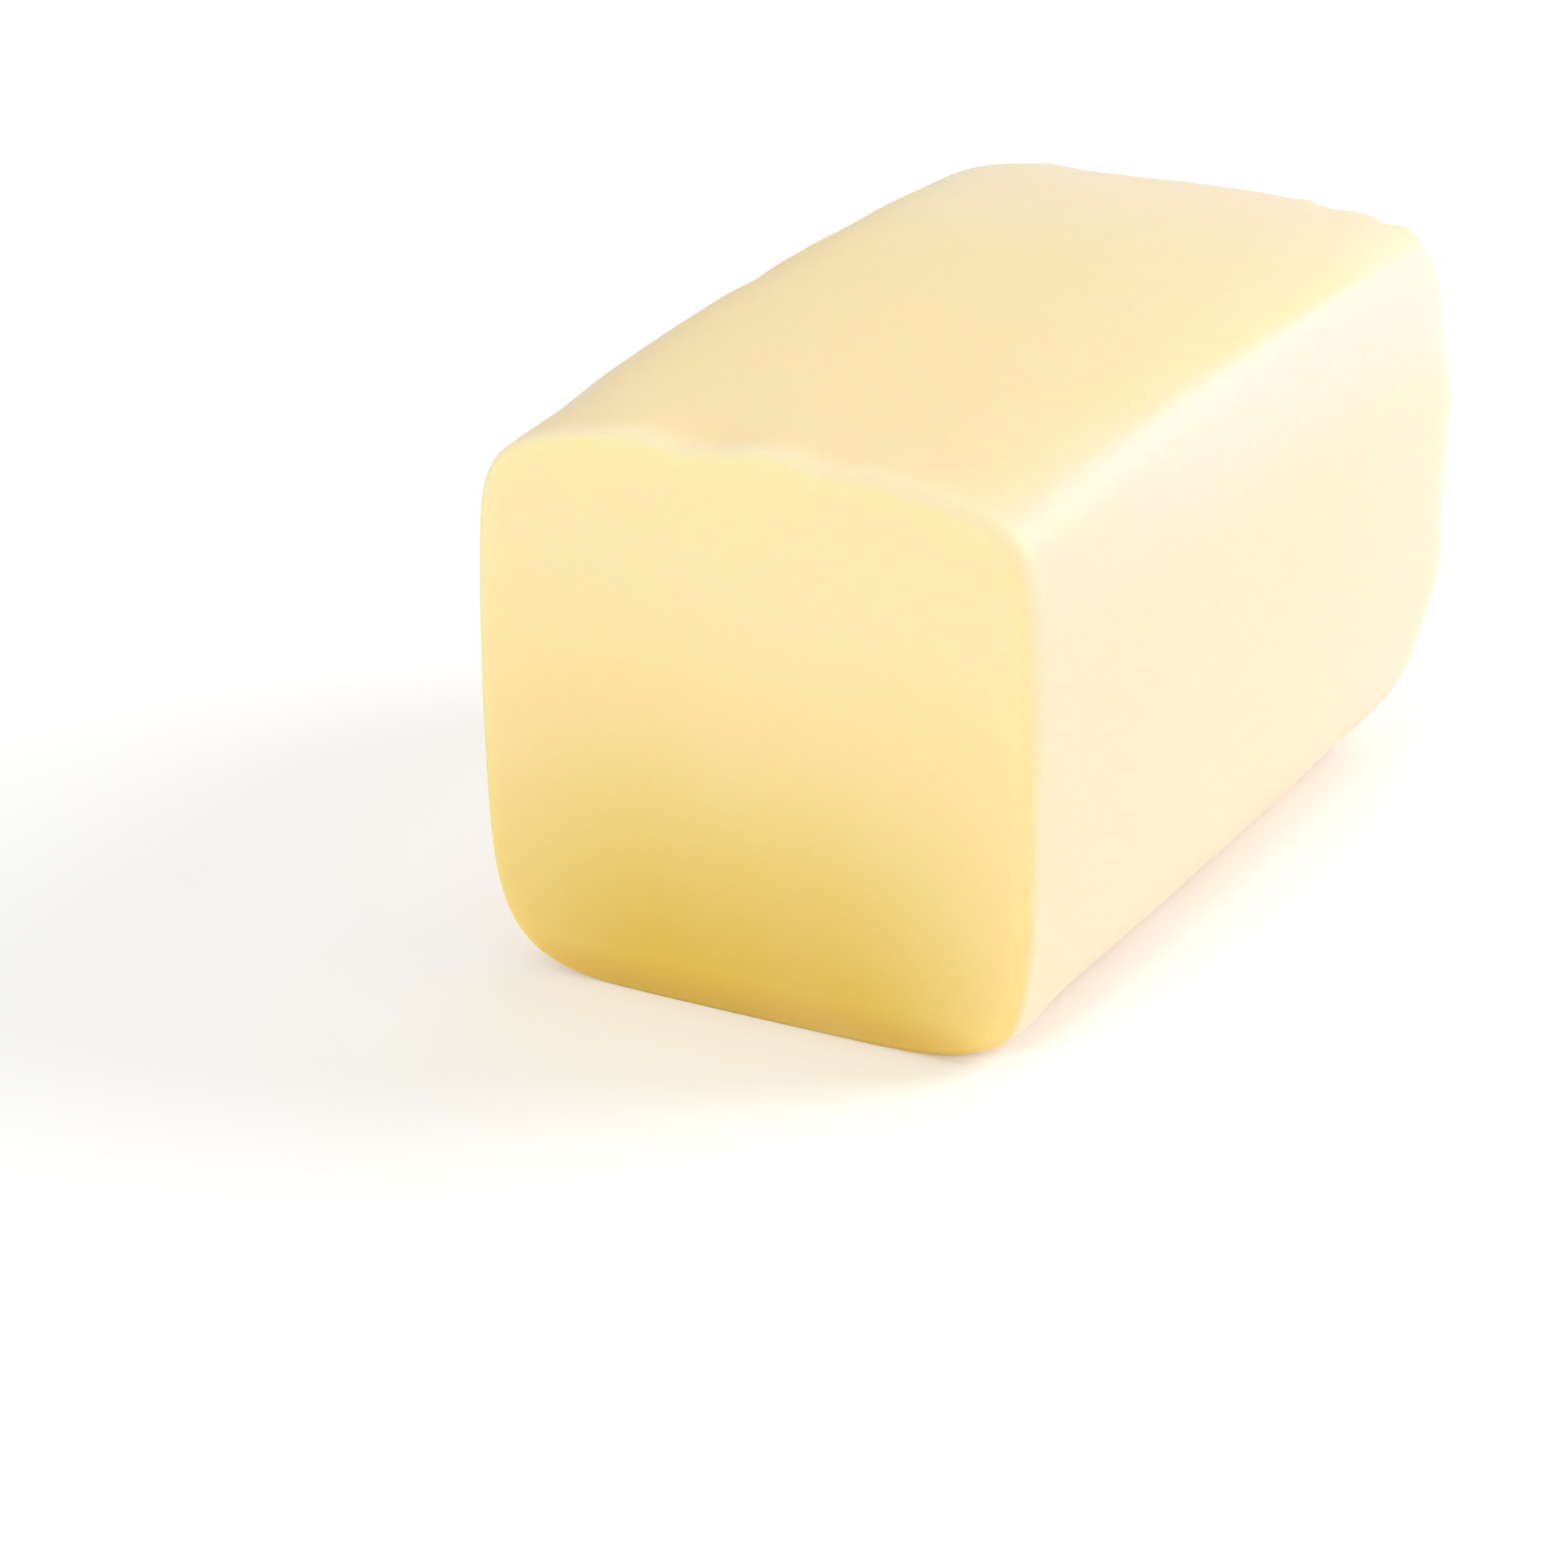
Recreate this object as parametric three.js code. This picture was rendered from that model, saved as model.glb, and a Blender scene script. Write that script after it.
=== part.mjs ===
// A block of mild, semi-soft cheese: what is left of a moulded loaf after the first slices.
// It lies on its base along Y. The -Y end is one flat knife cut, straight across the loaf.
// The +Y end is the loaf's own end, rounded by its mould. X is the width and Z is up.
// The origin is under the middle of the block, on the surface that it lies on.
import * as THREE from 'three';

// Driving dimensions, in millimetres. The front is the cut end, and the back is the moulded end.
const LENGTH = 168;
const FRONT_WIDTH = 98;
const BACK_WIDTH = 102;
const SIDE_SWELL = 0.8;
const FRONT_HEIGHT = 93;
const BACK_HEIGHT = 96;
const TOP_SWELL = 3.5;

// How far the middle of each face stands out past its own corners.
const FRONT_SIDE_CROWN = 0.9;
const BACK_SIDE_CROWN = 6.5;
const FRONT_TOP_CROWN = 4;
const BACK_TOP_CROWN = 1.2;
const BASE_SAG = 0.6;

// The rounding of the long edges, of the cut's rim and of the moulded end.
const FRONT_TOP_CORNER = 13.5;
const BACK_TOP_CORNER = 12;
const FRONT_BASE_CORNER = 19;
const BACK_BASE_CORNER = 23;
const CUT_RIM = 1.5;
const END_DEPTH = 28;

// The power of the moulded end's curve: 2 is an ellipse, and more is squarer.
const END_POWER = 3.6;

// The sides stand out furthest a little above mid-height, as a share of the half height.
const SIDE_CROWN_LIFT = 0.15;

// How finely the skin is divided, and how much closer the points stand around the long edges.
const RING_POINTS = 72;
const EDGE_CROWDING = 0.6;
const RIM_STEPS = 3;
const BODY_STEPS = 12;
const END_STEPS = 14;

const CHEESE = new THREE.MeshStandardMaterial({ color: 0xfdebb8, roughness: 0.55, metalness: 0 });

const mix = (front, back, along) => front + (back - front) * along;

// The power of a superellipse whose corner lies where a round corner of this radius would.
function cornerPower(radius, halfSize) {
  const cutBack = (1 - Math.SQRT1_2) * radius / halfSize;
  return -Math.LN2 / Math.log(1 - cutBack);
}

// The sizes of the cross-section at a distance from the cut.
function sectionAt(distance) {
  const along = distance / LENGTH;
  const swell = 4 * along * (1 - along);
  const halfWidth = mix(FRONT_WIDTH, BACK_WIDTH, along) / 2 + SIDE_SWELL * swell;
  const topCrown = mix(FRONT_TOP_CROWN, BACK_TOP_CROWN, along);
  const shoulder = mix(FRONT_HEIGHT, BACK_HEIGHT, along) + TOP_SWELL * swell - topCrown;
  return {
    halfWidth,
    sideCrown: mix(FRONT_SIDE_CROWN, BACK_SIDE_CROWN, along),
    middle: shoulder / 2,
    topCrown,
    topPower: cornerPower(mix(FRONT_TOP_CORNER, BACK_TOP_CORNER, along), halfWidth),
    basePower: cornerPower(mix(FRONT_BASE_CORNER, BACK_BASE_CORNER, along), halfWidth),
  };
}

// A point of the cross-section. The angle runs round it, and share 0 is its middle, 1 its outline.
function sectionPoint(distance, angle, share) {
  const section = sectionAt(distance);
  const across = Math.cos(angle);
  const upward = Math.sin(angle);
  const power = upward < 0 ? section.basePower : section.topPower;
  const reach = (Math.abs(across) ** power + Math.abs(upward) ** power) ** (-1 / power);
  const u = reach * across;
  const v = reach * upward;
  const crown = section.sideCrown * (1 - (v - SIDE_CROWN_LIFT) ** 2);
  const x = (section.halfWidth - section.sideCrown + crown) * u * share;
  const rise = v < 0 ? section.middle + BASE_SAG : section.middle + section.topCrown * (1 - u * u);
  const z = Math.max(section.middle + rise * v * share, 0);
  return [x, distance - LENGTH / 2, z];
}

// The rings from the cut to the moulded end, each with its distance from the cut and its share.
function rings() {
  const list = [];
  for (let i = 0; i < RIM_STEPS; i += 1) {
    const turn = (i / RIM_STEPS) * Math.PI / 2;
    const inset = CUT_RIM * (1 - Math.sin(turn));
    list.push({ distance: CUT_RIM * (1 - Math.cos(turn)), share: 1 - 2 * inset / FRONT_WIDTH });
  }
  const bodyLength = LENGTH - END_DEPTH - CUT_RIM;
  for (let i = 0; i < BODY_STEPS; i += 1) {
    list.push({ distance: CUT_RIM + bodyLength * i / BODY_STEPS, share: 1 });
  }
  for (let i = 0; i < END_STEPS; i += 1) {
    const turn = (i / END_STEPS) * Math.PI / 2;
    const reach = (Math.cos(turn) ** END_POWER + Math.sin(turn) ** END_POWER) ** (-1 / END_POWER);
    const pastBody = END_DEPTH * reach * Math.sin(turn);
    list.push({ distance: LENGTH - END_DEPTH + pastBody, share: reach * Math.cos(turn) });
  }
  return list;
}

// The angle of each point round a ring, with the points crowded towards the four long edges.
function ringAngle(point) {
  const even = point / RING_POINTS * 2 * Math.PI;
  return even + EDGE_CROWDING / 4 * Math.sin(4 * even);
}

function blockGeometry() {
  const list = rings();
  const positions = [];
  for (const ring of list) {
    for (let point = 0; point < RING_POINTS; point += 1) {
      positions.push(...sectionPoint(ring.distance, ringAngle(point), ring.share));
    }
  }
  const cutMiddle = list.length * RING_POINTS;
  const endMiddle = cutMiddle + 1;
  positions.push(...sectionPoint(0, 0, 0));
  positions.push(...sectionPoint(LENGTH, 0, 0));

  const index = [];
  const lastRing = (list.length - 1) * RING_POINTS;
  for (let point = 0; point < RING_POINTS; point += 1) {
    const next = (point + 1) % RING_POINTS;
    index.push(cutMiddle, point, next);
    for (let start = 0; start < lastRing; start += RING_POINTS) {
      const above = start + RING_POINTS;
      index.push(start + point, above + point, start + next);
      index.push(start + next, above + point, above + next);
    }
    index.push(endMiddle, lastRing + next, lastRing + point);
  }

  const geometry = new THREE.BufferGeometry();
  geometry.setAttribute('position', new THREE.Float32BufferAttribute(positions, 3));
  geometry.setIndex(index);
  geometry.computeVertexNormals();
  return geometry;
}

const block = new THREE.Mesh(blockGeometry(), CHEESE);
block.name = 'cheese_block';

const cheese = new THREE.Group();
cheese.add(block);

export default cheese;
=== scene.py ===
"""The looks of a block of mild, semi-soft cheese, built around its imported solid.

The block is one piece of cheese: a moulded loaf with its front end cut away. Its skin is a fine
closed mesh of quads over the same form as the CAD solid. It has the softened rim and the drag of
the knife, and the small unevenness of a moulded loaf. Then come its material, a pale studio and
the camera.
"""
import math

import bpy
import numpy as np
from mathutils import Euler, Matrix, Vector, noise


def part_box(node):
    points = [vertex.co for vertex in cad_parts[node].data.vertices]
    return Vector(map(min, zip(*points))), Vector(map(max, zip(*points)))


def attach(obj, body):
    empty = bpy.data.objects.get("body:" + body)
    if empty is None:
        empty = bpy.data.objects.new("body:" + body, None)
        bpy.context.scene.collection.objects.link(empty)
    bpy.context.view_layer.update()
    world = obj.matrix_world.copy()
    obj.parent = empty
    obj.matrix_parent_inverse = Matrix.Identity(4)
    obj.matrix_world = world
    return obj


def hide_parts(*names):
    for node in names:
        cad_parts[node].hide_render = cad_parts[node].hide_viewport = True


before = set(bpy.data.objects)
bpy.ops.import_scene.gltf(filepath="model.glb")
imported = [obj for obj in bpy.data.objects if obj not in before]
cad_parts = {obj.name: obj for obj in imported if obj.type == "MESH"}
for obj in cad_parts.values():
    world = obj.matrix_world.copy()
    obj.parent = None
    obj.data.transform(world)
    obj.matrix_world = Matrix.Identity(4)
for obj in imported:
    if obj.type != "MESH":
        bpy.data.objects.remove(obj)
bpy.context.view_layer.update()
low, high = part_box("cheese_block")

MM = 0.001
LENGTH = (high.y - low.y) / MM

# ---- the form, in millimetres: the same sizes as the CAD solid, from the cut to the moulded end ----
FRONT_WIDTH, BACK_WIDTH = 98.0, 102.0
SIDE_SWELL = 0.8
FRONT_HEIGHT, BACK_HEIGHT = 93.0, 96.0
TOP_SWELL = 3.5
FRONT_SIDE_CROWN, BACK_SIDE_CROWN = 0.9, 6.5
FRONT_TOP_CROWN, BACK_TOP_CROWN = 4.0, 1.2
BASE_SAG = 0.6
FRONT_TOP_CORNER, BACK_TOP_CORNER = 13.5, 12.0
FRONT_BASE_CORNER, BACK_BASE_CORNER = 19.0, 23.0
SIDE_CROWN_LIFT = 0.15
END_DEPTH = 28.0
END_POWER = 3.6

# The radius of the softened rim of the cut, at angles round the cut from the +X side.
RIM = ((0, 3.0), (40, 4.4), (62, 3.0), (90, 1.7), (130, 1.4), (180, 1.7), (225, 1.6), (270, 1.3), (318, 2.6))

# ---- the quads: GRID along each side of an end, and rows of 4 * GRID round the loaf ----
GRID = 96
RIM_ROWS = 8
BODY_ROWS = 138
END_ROWS = 30
# How far the rows go round the moulded end before a square grid closes it.
END_TURN = math.radians(50)


def mix(front, back, along):
    return front + (back - front) * along


def smooth(value, start, end):
    """0 before start, 1 after end, and a smooth rise between them."""
    t = np.clip((value - start) / (end - start), 0, 1)
    return t * t * (3 - 2 * t)


def corner_power(radius, half_size):
    """The power of a superellipse whose corner lies where a round corner of this radius would."""
    return -math.log(2) / np.log(1 - (1 - math.sqrt(0.5)) * radius / half_size)


def form(distance, angle, share):
    """Points of the block in mm, at a distance from the cut, an angle round the loaf and a share of
    the way from its axis to its skin."""
    along = distance / LENGTH
    swell = 4 * along * (1 - along)
    half_width = mix(FRONT_WIDTH, BACK_WIDTH, along) / 2 + SIDE_SWELL * swell
    side_crown = mix(FRONT_SIDE_CROWN, BACK_SIDE_CROWN, along)
    top_crown = mix(FRONT_TOP_CROWN, BACK_TOP_CROWN, along)
    middle = (mix(FRONT_HEIGHT, BACK_HEIGHT, along) + TOP_SWELL * swell - top_crown) / 2
    top_power = corner_power(mix(FRONT_TOP_CORNER, BACK_TOP_CORNER, along), half_width)
    base_power = corner_power(mix(FRONT_BASE_CORNER, BACK_BASE_CORNER, along), half_width)
    across, upward = np.cos(angle), np.sin(angle)
    power = np.where(upward < 0, base_power, top_power)
    reach = (np.abs(across) ** power + np.abs(upward) ** power) ** (-1 / power)
    u, v = reach * across, reach * upward
    x = (half_width - side_crown * (v - SIDE_CROWN_LIFT) ** 2) * u * share
    rise = np.where(v < 0, middle + BASE_SAG, middle + top_crown * (1 - u * u))
    z = np.maximum(middle + rise * v * share, 0)
    return np.stack([x, distance - LENGTH / 2 + 0 * x, z], axis=-1)


def rim_radius(angle):
    """The radius of the cut's rim at an angle round the loaf, smoothed so that it has no kinks."""
    degrees = np.degrees(angle) % 360
    places, radii = zip(*RIM)
    blur = [-18, -9, 0, 9, 18]
    return sum(np.interp((degrees + d) % 360, places, radii, period=360) for d in blur) / len(blur)


def square_ring():
    """The points round a square grid's edge: from its lower left corner, anticlockwise as -Y sees it."""
    steps = np.linspace(-1, 1, GRID + 1)[:-1]
    edge = np.ones(GRID)
    ring_x = np.concatenate([steps, edge, -steps, -edge])
    ring_z = np.concatenate([-edge, steps, edge, -steps])
    return ring_x, ring_z


def end_distance(share):
    """How far from the cut the moulded end's surface is, where it has drawn in to this share."""
    return LENGTH - END_DEPTH * (1 - (1 - share ** END_POWER) ** (1 / END_POWER))


def block_rows():
    """The rows of points round the loaf, from the flat of the cut to well round the moulded end."""
    angle = np.arctan2(*square_ring()[::-1])
    radius = rim_radius(angle)
    rows = []
    for turn in np.linspace(0, math.pi / 2, RIM_ROWS + 1)[:-1]:
        inset = radius * (1 - math.sin(turn))
        rows.append(form(radius * (1 - math.cos(turn)), angle, 1 - 2 * inset / FRONT_WIDTH))
    for part in np.linspace(0, 1, BODY_ROWS + 1)[:-1]:
        rows.append(form(mix(radius, LENGTH - END_DEPTH, part), angle, np.ones_like(angle)))
    for turn in np.linspace(0, END_TURN, END_ROWS + 1):
        reach = (math.cos(turn) ** END_POWER + math.sin(turn) ** END_POWER) ** (-1 / END_POWER)
        share = min(reach * math.cos(turn), 1)
        rows.append(form(end_distance(share) + 0 * angle, angle, share + 0 * angle))
    return rows, share


def block_mesh():
    """The whole skin of the block, all quads: rows round the loaf, and a square grid over each end."""
    rows, last_share = block_rows()
    count = 4 * GRID
    points = [np.concatenate(rows)]
    ring = np.arange(count)
    faces = []
    for row in range(len(rows) - 1):
        near, far = row * count + ring, (row + 1) * count + ring
        faces.append(np.stack([near, far, np.roll(far, -1), np.roll(near, -1)], axis=1))

    steps = np.linspace(-1, 1, GRID + 1)[1:-1]
    grid_x, grid_z = np.meshgrid(steps, steps, indexing="ij")
    angle = np.arctan2(grid_z, grid_x).ravel()
    inward = np.maximum(np.abs(grid_x), np.abs(grid_z)).ravel()
    cut_share = inward * (1 - 2 * rim_radius(angle) / FRONT_WIDTH)
    end_share = inward * last_share
    points.append(form(0 * angle, angle, cut_share))
    points.append(form(end_distance(end_share), angle, end_share))

    start = len(rows) * count
    for first, edge_row, outward in ((start, 0, 1), (start + len(angle), len(rows) - 1, -1)):
        index = np.zeros((GRID + 1, GRID + 1), int)
        index[1:-1, 1:-1] = first + np.arange(len(angle)).reshape(GRID - 1, GRID - 1)
        edge = edge_row * count + ring
        index[:-1, 0] = edge[:GRID]
        index[-1, :-1] = edge[GRID:2 * GRID]
        index[1:, -1] = edge[2 * GRID:3 * GRID][::-1]
        index[0, 1:] = edge[3 * GRID:][::-1]
        quads = np.stack([index[:-1, :-1], index[1:, :-1], index[1:, 1:], index[:-1, 1:]], axis=-1)
        faces.append(quads.reshape(-1, 4)[:, ::outward])

    mesh = bpy.data.meshes.new("cheese")
    mesh.from_pydata((np.concatenate(points) * MM).tolist(), [], np.concatenate(faces).tolist())
    mesh.update()
    return mesh


def read_points(mesh):
    """A mesh's points and their normals, in millimetres."""
    flat = np.zeros(len(mesh.vertices) * 3, np.float32)
    mesh.vertices.foreach_get("co", flat)
    points = flat.reshape(-1, 3).astype(float) / MM
    mesh.vertex_normals.foreach_get("vector", flat)
    return points, flat.reshape(-1, 3).astype(float)


def lumps(points, size, seed):
    """Smooth noise from about -1 to 1 at each point, in lumps about this many mm wide."""
    return np.array([noise.noise(Vector(p)) for p in points / size + seed])


# ---- the unevenness of the real thing, in millimetres: how wide the lumps are, and how high ----
BROAD_LUMPS, BROAD_HEIGHT = 46.0, 0.34
SMALL_LUMPS, SMALL_HEIGHT = 13.0, 0.10
PORE_LUMPS, PORE_HEIGHT = 4.5, 0.025
DRAG_WIDTH, DRAG_HEIGHT, DRAG_LEAN = 5.0, 0.07, 0.12

# Where the knife drew the top rim up or left it low: place across the cut, how wide, how high.
RIM_LIFTS = (
    (-24, 7, 0.75),
    (-12, 4.5, -0.8),
    (-6, 4, -0.6),
    (3, 7, 0.8),
    (13, 5, -0.25),
    (21, 6, 0.35),
    (36, 9, 0.3),
)
RIM_LIFT_DEPTH = 9.0

# Knocks and small swellings: x, y, z, how wide, how long along the loaf, how high.
KNOCKS = (
    # two small ledges and a fuller corner along the top of the moulded end
    (-27, 69, 95.7, 4.0, 7.0, 0.35),
    (-17, 69, 95.7, 5.0, 7.0, -0.30),
    (-9, 69, 95.6, 5.0, 7.0, -0.30),
    (13, 69, 96, 8.0, 7.0, 0.22),
    (22.9, 69.5, 95.6, 1.7, 6.0, 0.40),
    (27.3, 69.5, 94.8, 3.2, 6.0, -0.45),
    (37.1, 70, 93.5, 1.7, 6.0, -1.25),
    (40.8, 71, 92.4, 2.2, 6.0, 0.50),
    # down the right-hand corner of the moulded end
    (47.5, 71, 84.5, 3.5, 8.0, 0.35),
    (48.5, 72, 76, 6.0, 8.0, -0.45),
    (49.5, 71, 64, 5.0, 8.0, 0.30),
    (49.5, 71, 47, 6.0, 8.0, -0.40),
    (49, 69, 33.5, 6.5, 8.0, 0.65),
    (45, 64, 13, 6.5, 9.0, 0.25),
    # a fuller edge along the back half of the right-hand top edge
    (45, 32, 92.5, 5.0, 34.0, 0.70),
    # along the left-hand top edge
    (-43, -66, 89, 6.0, 9.0, -0.35),
    (-43, -5, 93.3, 6.0, 7.0, -0.45),
    (-43, 8, 94, 6.0, 6.0, -0.20),
    (-43, 22, 94, 6.0, 12.0, -0.38),
    # the side left of the cut and the corner under it
    (-48.5, -80, 56, 22.0, 14.0, 0.33),
    (44, -77, 5.5, 6.0, 9.0, 0.75),
)


def roughen(mesh):
    """Moves the smooth form's points out and in, as a handled, hand-cut block of cheese has it."""
    points, normals = read_points(mesh)
    x, y, z = points.T
    off_base = smooth(z, 0.3, 5)
    on_cut = 1 - smooth(y + LENGTH / 2, 0.2, 2.5)
    out = BROAD_HEIGHT * lumps(points, BROAD_LUMPS, 3.1)
    out += SMALL_HEIGHT * lumps(points, SMALL_LUMPS, 17.7)
    out += PORE_HEIGHT * lumps(points, PORE_LUMPS, 41.3)
    across = x + DRAG_LEAN * z + 0.0009 * z * z
    drag = lumps(np.stack([across, 0 * z, 0.06 * z], axis=1), DRAG_WIDTH, 8.5)
    out += on_cut * DRAG_HEIGHT * drag
    for place_x, place_y, place_z, wide, long, height in KNOCKS:
        away = ((x - place_x) ** 2 + (z - place_z) ** 2) / wide ** 2 + ((y - place_y) / long) ** 2
        out += height * np.exp(-away)
    points += normals * (out * off_base)[:, None]
    near_rim = np.exp(-((y + LENGTH / 2) / RIM_LIFT_DEPTH) ** 2) * smooth(z, 74, 90)
    for place, wide, height in RIM_LIFTS:
        points[:, 2] += height * near_rim * np.exp(-((x - place) / wide) ** 2)
    points[:, 2] = np.maximum(points[:, 2], 0)
    mesh.vertices.foreach_set("co", (points * MM).astype(np.float32).ravel())
    mesh.update()


# ---- the cheese: linear colours ----
# the skin: its sides (paler than the top partly as painted sheen), the ivory of its mottling and of the
# painted highlight on its right-hand long edge and end, its top from the cut to the end (paling as painted
# sheen), and the painted highlight on the cut's top rim
CREAM = (0.965, 0.758, 0.525)
IVORY_MOTTLE_AND_HIGHLIGHT = (0.94, 0.785, 0.66)
BUTTER = (0.965, 0.73, 0.386)
BUTTER_SHEEN = (0.96, 0.775, 0.552)
LIP_HIGHLIGHT = (0.99, 0.785, 0.51)
# the cut: its own colour in its upper part, then painted shade and warm bounced light deepening low down,
# and a painted shadow along its base
FLESH = (0.99, 0.773, 0.422)
PAINTED_HONEY_SHADE = (0.855, 0.675, 0.24)
PAINTED_GOLD_SHADE = (0.74, 0.505, 0.053)
PAINTED_AMBER_SHADE = (0.69, 0.44, 0.078)


class Nodes:
    """A short way to add nodes to a material and join them up."""

    def __init__(self, material):
        material.use_nodes = True
        self.tree = material.node_tree
        self.tree.nodes.clear()

    def feed(self, socket, value):
        """Sets a socket to a value, or joins it to another node's output."""
        if isinstance(value, bpy.types.NodeSocket):
            self.tree.links.new(value, socket)
        else:
            socket.default_value = value

    def add(self, kind, settings=None, **inputs):
        """A new node. An input is given by its name, with _ for a space, or by its number as in i0."""
        node = self.tree.nodes.new(kind)
        for name, value in (settings or {}).items():
            setattr(node, name, value)
        for name, value in inputs.items():
            numbered = name[0] == "i" and name[1:].isdigit()
            key = int(name[1:]) if numbered else name.replace("_", " ")
            self.feed(node.inputs[key], value)
        return node

    def math(self, operation, a, b):
        return self.add("ShaderNodeMath", {"operation": operation}, i0=a, i1=b).outputs[0]

    def ramp(self, value, start, end, low=0.0, high=1.0, shape="SMOOTHSTEP"):
        """Goes from low to high as the value goes from start to end, and stays level outside them."""
        settings = {"interpolation_type": shape}
        ends = {"From_Min": start, "From_Max": end, "To_Min": low, "To_Max": high}
        return self.add("ShaderNodeMapRange", settings, Value=value, **ends).outputs[0]

    def blend(self, share, first, second):
        """The first colour where share is 0 and the second where it is 1."""
        node = self.add("ShaderNodeMix", {"data_type": "RGBA"}, i0=share)
        for socket, color in ((node.inputs[6], first), (node.inputs[7], second)):
            self.feed(socket, (*color, 1) if isinstance(color, tuple) else color)
        return node.outputs[2]

    def noise(self, vector, scale, detail=3.0, rough=0.5):
        inputs = {"Vector": vector, "Scale": scale, "Detail": detail, "Roughness": rough}
        return self.add("ShaderNodeTexNoise", **inputs).outputs["Fac"]


def skin_color(nodes, y, z, face_x, face_z, cloud):
    """Cream sides, paler than the butter-yellow top partly as painted sheen of the key light, a painted
    highlight along the right-hand long edge and towards the moulded end, a top that pales towards that end
    as painted sheen, a painted highlight along the cut's top rim, and ivory mottling.
    """
    end = nodes.ramp(y, -0.005, 0.085)
    # a painted highlight of the key light along the long top edge, widening towards the moulded end
    along_edge = nodes.ramp(y, -0.090, -0.010, 0.4, 1.0)
    ridge_highlight = nodes.math("MULTIPLY", nodes.ramp(z, 0.064, 0.090), along_edge)
    # the painted highlight stays on the right-hand long edge, where the key light falls; the left-hand side
    # stays cream up to its edge
    ridge_highlight = nodes.math("MULTIPLY", ridge_highlight, nodes.ramp(face_x, -0.92, -0.60))
    side = nodes.blend(ridge_highlight, CREAM, IVORY_MOTTLE_AND_HIGHLIGHT)
    # the sides pale towards the moulded end as a painted highlight of the key light from behind
    side = nodes.blend(nodes.math("MULTIPLY", end, 0.35), side, IVORY_MOTTLE_AND_HIGHLIGHT)
    # the top pales towards the moulded end as a painted sheen reflecting the pale studio behind it
    top = nodes.blend(end, BUTTER, BUTTER_SHEEN)
    # the top's colour reaches further over the edge towards the moulded end, so the painted highlight on
    # that edge begins lower there
    upward = nodes.math("ADD", face_z, nodes.ramp(y, -0.090, 0.055, 0.0, 0.21))
    # the cream sides are paler than the butter top: partly the skin's own colour, partly a painted sheen of
    # the key light
    skin = nodes.blend(nodes.ramp(upward, 0.72, 1.06), side, top)
    # a painted highlight along the cut's top rim, where the rim catches the light
    by_cut = nodes.ramp(y, -0.082, -0.077, 0.8, 0.0)
    lip_highlight = nodes.math("MULTIPLY", by_cut, nodes.ramp(z, 0.075, 0.088))
    skin = nodes.blend(lip_highlight, skin, LIP_HIGHLIGHT)
    return nodes.blend(nodes.ramp(cloud, 0.35, 0.75, 0.0, 0.12), skin, IVORY_MOTTLE_AND_HIGHLIGHT)


def flesh_color(nodes, x, z, cloud):
    """The cut: its own pale colour, with painted shade standing in for shadow and warm bounced light, golden
    low down and amber along its base; kept off its top and its right side, where light glows through.
    """
    # painted shade: deepest low in the middle of the cut, fading up the cut, towards its right-hand side
    # where the lit side's light glows through, and a little towards its left edge
    painted_shade = nodes.math("MULTIPLY", nodes.ramp(z, 0.075, -0.006), nodes.ramp(x, 0.076, 0.014))
    painted_shade = nodes.math("MULTIPLY", painted_shade, nodes.ramp(x, -0.060, -0.015, 0.5, 1.0))
    flesh = nodes.blend(nodes.ramp(painted_shade, 0.0, 0.5, shape="LINEAR"), FLESH, PAINTED_HONEY_SHADE)
    flesh = nodes.blend(nodes.ramp(painted_shade, 0.5, 1.0, shape="LINEAR"), flesh, PAINTED_GOLD_SHADE)
    # a painted shadow along the base of the cut, where it meets the floor
    foot_shade = nodes.math("MULTIPLY", nodes.ramp(z, 0.007, 0.0005), painted_shade)
    flesh = nodes.blend(foot_shade, flesh, PAINTED_AMBER_SHADE)
    return nodes.blend(nodes.ramp(cloud, 0.4, 0.75, 0.0, 0.08), flesh, IVORY_MOTTLE_AND_HIGHLIGHT)


def fine_bump(nodes, place, curd, cut):
    """Curd grain all over, and the knife's fine lines down the cut."""
    drag = nodes.add("ShaderNodeMapping", {"vector_type": "POINT"}, Vector=place)
    drag.inputs["Rotation"].default_value = (0, math.radians(7), 0)
    drag.inputs["Scale"].default_value = (1, 1, 0.03)
    lines = nodes.math("MULTIPLY", nodes.noise(drag.outputs[0], 700.0, 2.0), cut)
    height = nodes.math("ADD", nodes.math("MULTIPLY", lines, 0.5), curd)
    return nodes.add("ShaderNodeBump", Strength=0.12, Distance=0.0006, Height=height).outputs[0]


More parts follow.
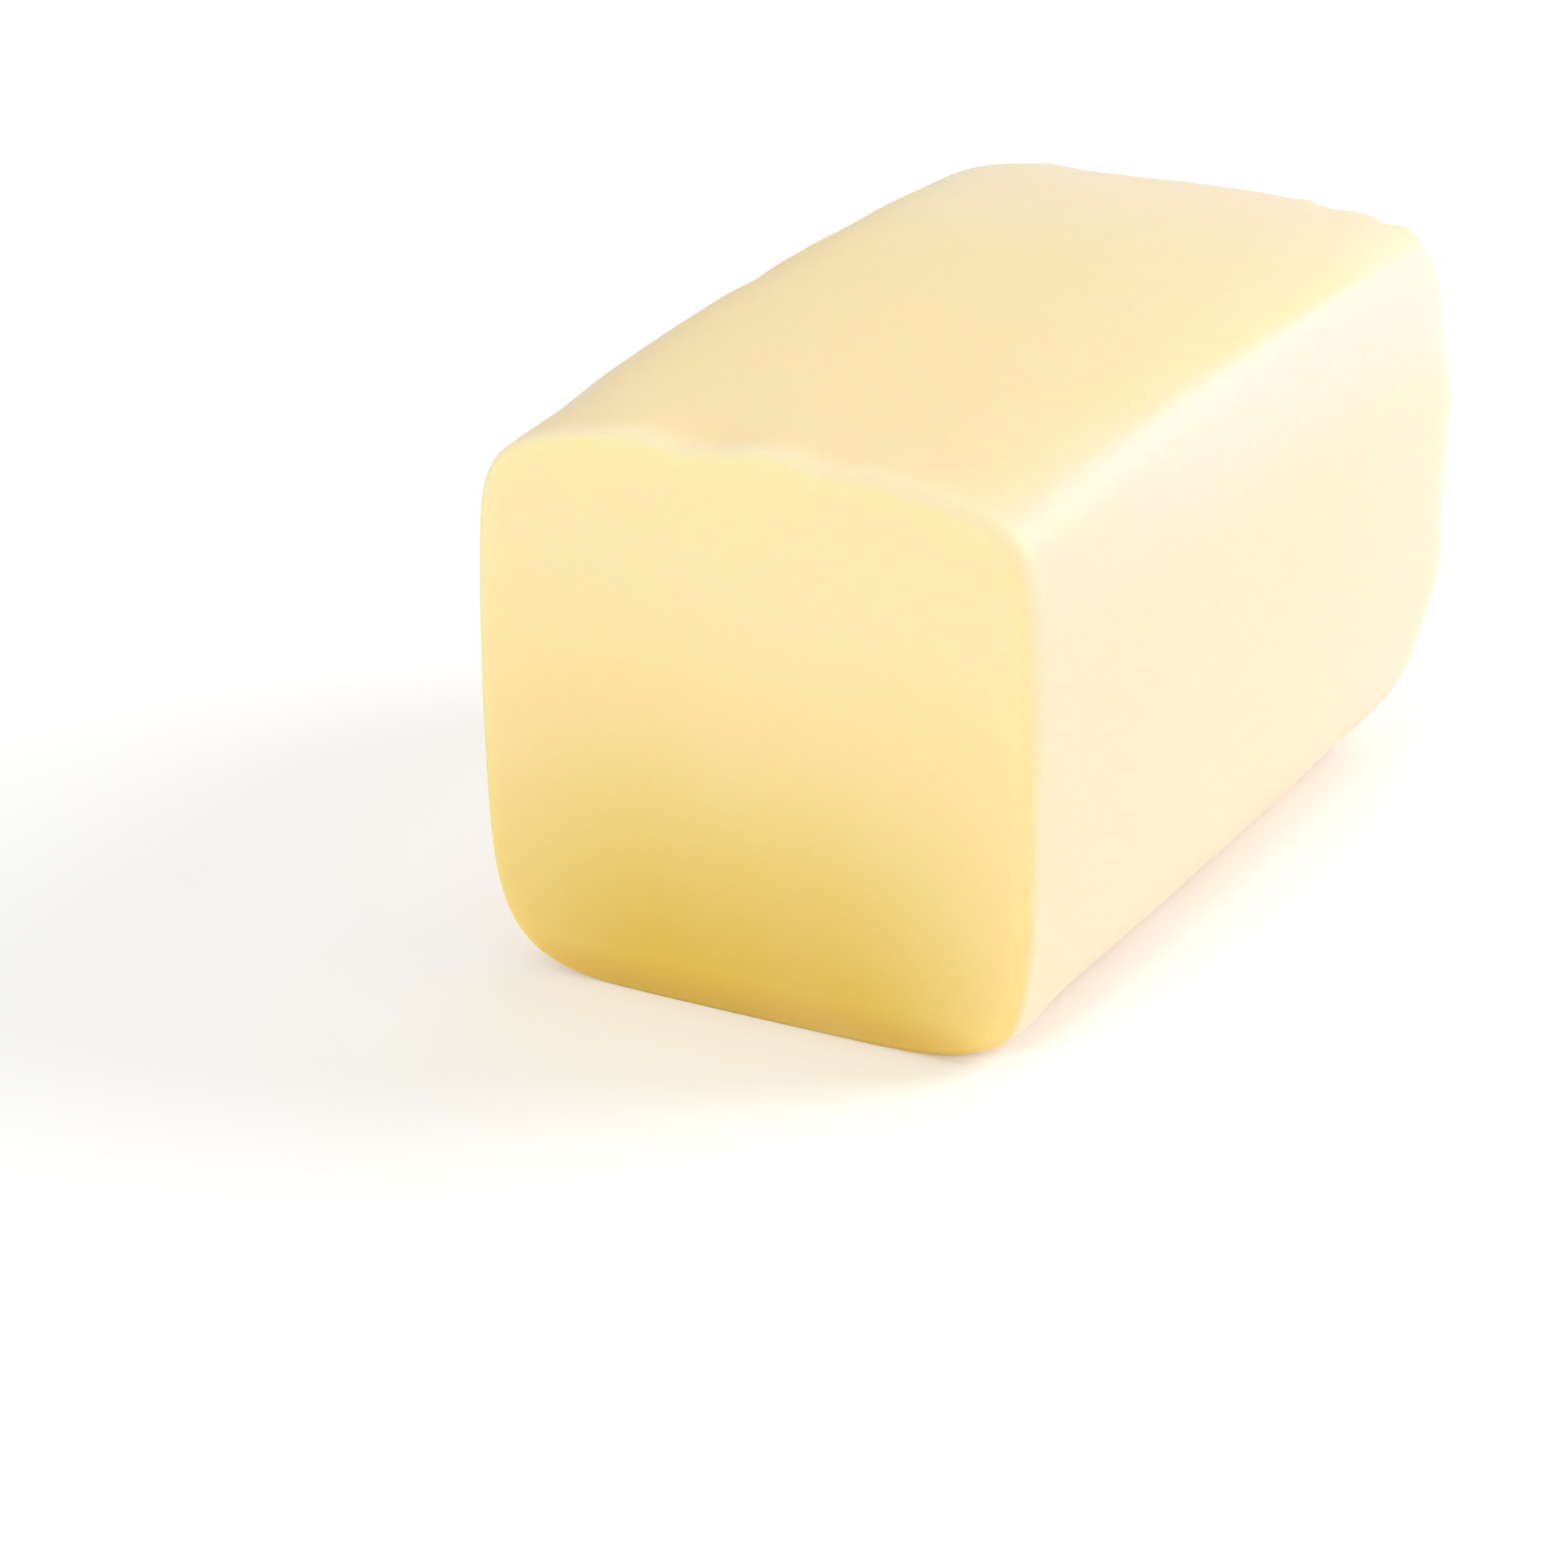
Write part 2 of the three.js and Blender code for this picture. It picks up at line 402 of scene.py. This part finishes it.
def cheese_material():
    """Waxy cheese that light sinks into, with one colour for its skin and another for its cut."""
    material = bpy.data.materials.new("cheese")
    nodes = Nodes(material)
    coords = nodes.add("ShaderNodeTexCoord")
    place = coords.outputs["Object"]
    x, y, z = nodes.add("ShaderNodeSeparateXYZ", Vector=place).outputs
    facing = nodes.add("ShaderNodeSeparateXYZ", Vector=coords.outputs["Normal"])
    face_x, face_y, face_z = facing.outputs
    cloud = nodes.noise(place, 26.0)
    curd = nodes.noise(place, 420.0, 4.0, 0.6)

    # 1 on the cut and 0 on the skin; the skin begins sooner at the top rim than at the others
    turned = nodes.math("ADD", face_y, nodes.math("MULTIPLY", face_z, 0.45))
    cut = nodes.ramp(turned, -0.90, -0.30, 1.0, 0.0)
    skin = skin_color(nodes, y, z, face_x, face_z, cloud)
    color = nodes.blend(cut, skin, flesh_color(nodes, x, z, cloud))
    sheen = nodes.ramp(curd, 0.3, 0.7, 0.42, 0.54)
    shader = nodes.add("ShaderNodeBsdfPrincipled", Base_Color=color, Roughness=sheen, IOR=1.45)
    nodes.feed(shader.inputs["Normal"], fine_bump(nodes, place, curd, cut))
    shader.inputs["Subsurface Weight"].default_value = 1.0
    shader.inputs["Subsurface Radius"].default_value = (1.0, 0.62, 0.28)
    shader.inputs["Subsurface Scale"].default_value = 0.006
    nodes.add("ShaderNodeOutputMaterial", Surface=shader.outputs[0])
    return material


def make_block():
    mesh = block_mesh()
    roughen(mesh)
    mesh.polygons.foreach_set("use_smooth", [True] * len(mesh.polygons))
    mesh.materials.append(cheese_material())
    block = bpy.data.objects.new("cheese", mesh)
    bpy.context.scene.collection.objects.link(block)
    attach(block, "root")
    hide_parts("cheese_block")


# ---- the studio, in metres and degrees ----
FLOOR_SIZE = 12.0
LIGHT_DISTANCE = 1.8
LIGHT_AIM = Vector((0, 0, 0.05))
WORLD_STRENGTH = 0.43

# Round soft boxes: azimuth (0 shines from the -Y side, and 90 from +X), elevation, size, power.
LIGHTS = {
    "key": (130, 30, 1.0, 17.15),
    "back_fill": (180, 35, 1.2, 3.9),
    "left_fill": (-45, 55, 0.9, 2.0),
    "left_back_fill": (215, 40, 1.2, 1.6),
    "front_fill": (0, 25, 0.8, 10.6),
    "overhead": (0, 88, 1.4, 4.0),
}

CAMERA_AZIMUTH, CAMERA_ELEVATION, CAMERA_ROLL = 29.94, 22.775, -0.75
CAMERA_AIM = Vector((-0.0318, -0.0183, 0.0092))
CAMERA_DISTANCE = 0.8847
FOCAL_MM, SENSOR_MM = 120.2, 36


def floor_material():
    """Matt white, with a little light of its own as a light table has, so its shadows stay pale."""
    material = bpy.data.materials.new("floor")
    nodes = Nodes(material)
    shader = nodes.add("ShaderNodeBsdfPrincipled", Base_Color=(0.95, 0.95, 0.95, 1), Roughness=0.9)
    shader.inputs["Emission Color"].default_value = (1, 1, 1, 1)
    shader.inputs["Emission Strength"].default_value = 0.1
    nodes.add("ShaderNodeOutputMaterial", Surface=shader.outputs[0])
    return material


def make_floor():
    half = FLOOR_SIZE / 2
    mesh = bpy.data.meshes.new("floor")
    corners = [(-half, -half, 0), (half, -half, 0), (half, half, 0), (-half, half, 0)]
    mesh.from_pydata(corners, [], [(0, 1, 2, 3)])
    mesh.materials.append(floor_material())
    floor = bpy.data.objects.new("floor", mesh)
    bpy.context.scene.collection.objects.link(floor)


def make_lights():
    for name, (azimuth, elevation, size, power) in LIGHTS.items():
        a, e = math.radians(azimuth), math.radians(elevation)
        away = Vector((math.sin(a) * math.cos(e), -math.cos(a) * math.cos(e), math.sin(e)))
        lamp = bpy.data.lights.new(name, "AREA")
        lamp.shape = "DISK"
        lamp.size = size
        lamp.energy = power
        light = bpy.data.objects.new(name, lamp)
        light.location = LIGHT_AIM + away * LIGHT_DISTANCE
        light.rotation_euler = away.to_track_quat("Z", "Y").to_euler()
        bpy.context.scene.collection.objects.link(light)


def make_world():
    world = bpy.data.worlds.new("studio")
    world.use_nodes = True
    background = world.node_tree.nodes["Background"]
    background.inputs["Color"].default_value = (1, 1, 1, 1)
    background.inputs["Strength"].default_value = WORLD_STRENGTH
    bpy.context.scene.world = world


def make_camera():
    """Above the cut's right-hand corner, at the distance and focal length that give its perspective."""
    tilt = math.radians(90 - CAMERA_ELEVATION)
    turn = Euler((tilt, 0, math.radians(CAMERA_AZIMUTH))).to_matrix()
    turn = turn @ Matrix.Rotation(math.radians(CAMERA_ROLL), 3, "Z")
    lens = bpy.data.cameras.new("camera")
    lens.lens = FOCAL_MM
    lens.sensor_width = SENSOR_MM
    camera = bpy.data.objects.new("camera", lens)
    place = CAMERA_AIM + turn @ Vector((0, 0, CAMERA_DISTANCE))
    camera.matrix_world = Matrix.Translation(place) @ turn.to_4x4()
    bpy.context.scene.collection.objects.link(camera)
    bpy.context.scene.camera = camera


make_block()
make_floor()
make_lights()
make_world()
make_camera()
bpy.context.scene.view_settings.view_transform = "Standard"

bpy.context.view_layer.update()
